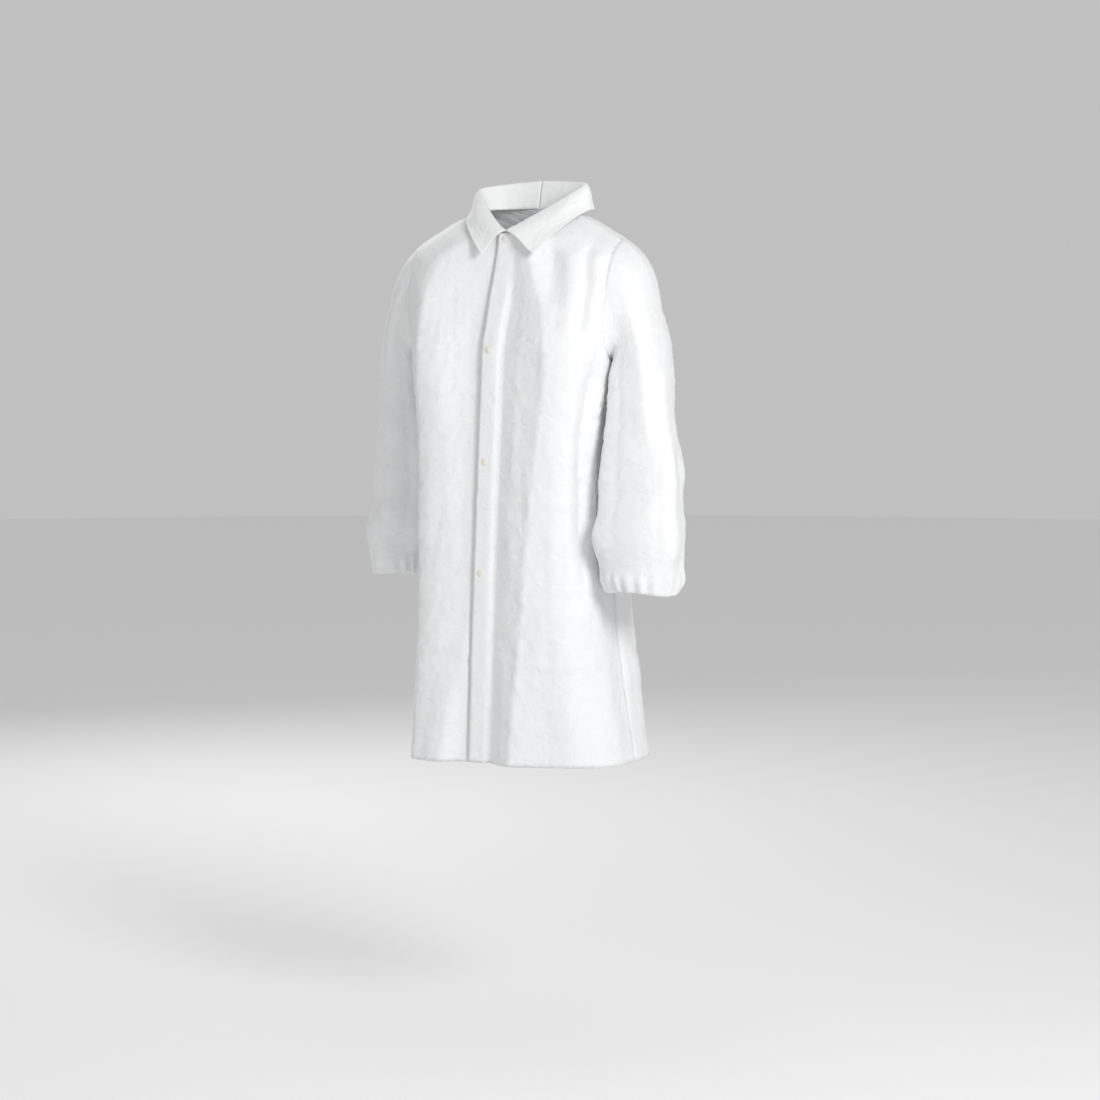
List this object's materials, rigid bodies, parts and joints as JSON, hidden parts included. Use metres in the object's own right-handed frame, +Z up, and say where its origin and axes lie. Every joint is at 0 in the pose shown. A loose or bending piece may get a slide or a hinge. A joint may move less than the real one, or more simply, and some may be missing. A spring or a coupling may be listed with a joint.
{
  "type": "lab coat",
  "caption": "Knee-length disposable lab coat with a pointed turn-down collar, snap front, long sleeves and elasticated cuffs, shown in its worn shape.",
  "frame": {"origin": "middle of the neck opening, at the height where the collar joins the shoulders", "axes": "+Z up along the wearer's neck, -Y the wearer's front, +X the wearer's left"},
  "size_m": [0.603, 0.2518, 0.965],
  "materials": {
    "nonwoven": "matte",
    "nonwoven_double": "matte",
    "nonwoven_collar": "matte",
    "snap_plastic": "satin",
    "elastic_rubber": "matte"
  },
  "bodies": {
    "torso": {"back_panel": "nonwoven", "left_front_side": "nonwoven", "right_front_side": "nonwoven", "collar": "nonwoven_collar"},
    "left_front": {"left_front_flap": "nonwoven", "left_front_facing": "nonwoven_double", "left_collar_leaf": "nonwoven_collar", "snap_1_cap": "snap_plastic", "snap_1_socket": "snap_plastic", "snap_2_cap": "snap_plastic", "snap_2_socket": "snap_plastic", "snap_3_cap": "snap_plastic", "snap_3_socket": "snap_plastic", "snap_4_cap": "snap_plastic", "snap_4_socket": "snap_plastic"},
    "right_front": {"right_front_flap": "nonwoven", "right_front_facing": "nonwoven_double", "right_collar_leaf": "nonwoven_collar", "snap_1_stud": "snap_plastic", "snap_1_back": "snap_plastic", "snap_2_stud": "snap_plastic", "snap_2_back": "snap_plastic", "snap_3_stud": "snap_plastic", "snap_3_back": "snap_plastic", "snap_4_stud": "snap_plastic", "snap_4_back": "snap_plastic"},
    "left_arm": {"left_sleeve": "nonwoven", "left_cuff_casing": "nonwoven_double", "left_cuff_elastic": "elastic_rubber"},
    "right_arm": {"right_sleeve": "nonwoven", "right_cuff_casing": "nonwoven_double", "right_cuff_elastic": "elastic_rubber"}
  },
  "joints": [
    {"name": "left_front_open", "type": "hinge", "parent": "torso", "child": "left_front", "pos_m": [0.088, -0.08, 0], "axis": [-0.0946, 0.0348, 0.9949], "range_deg": [0, 80]},
    {"name": "right_front_open", "type": "hinge", "parent": "torso", "child": "right_front", "pos_m": [-0.088, -0.08, 0], "axis": [-0.0946, -0.0348, -0.9949], "range_deg": [0, 30]},
    {"name": "left_arm_raise", "type": "hinge", "parent": "torso", "child": "left_arm", "pos_m": [0.178, 0, -0.07], "axis": [0, -1, 0], "range_deg": [0, 80]},
    {"name": "right_arm_raise", "type": "hinge", "parent": "torso", "child": "right_arm", "pos_m": [-0.178, 0, -0.07], "axis": [0, 1, 0], "range_deg": [0, 80]}
  ],
  "couplings": [
    {"joint": "right_front_open", "follows": "left_front_open", "ratio": 0.375}
  ]
}
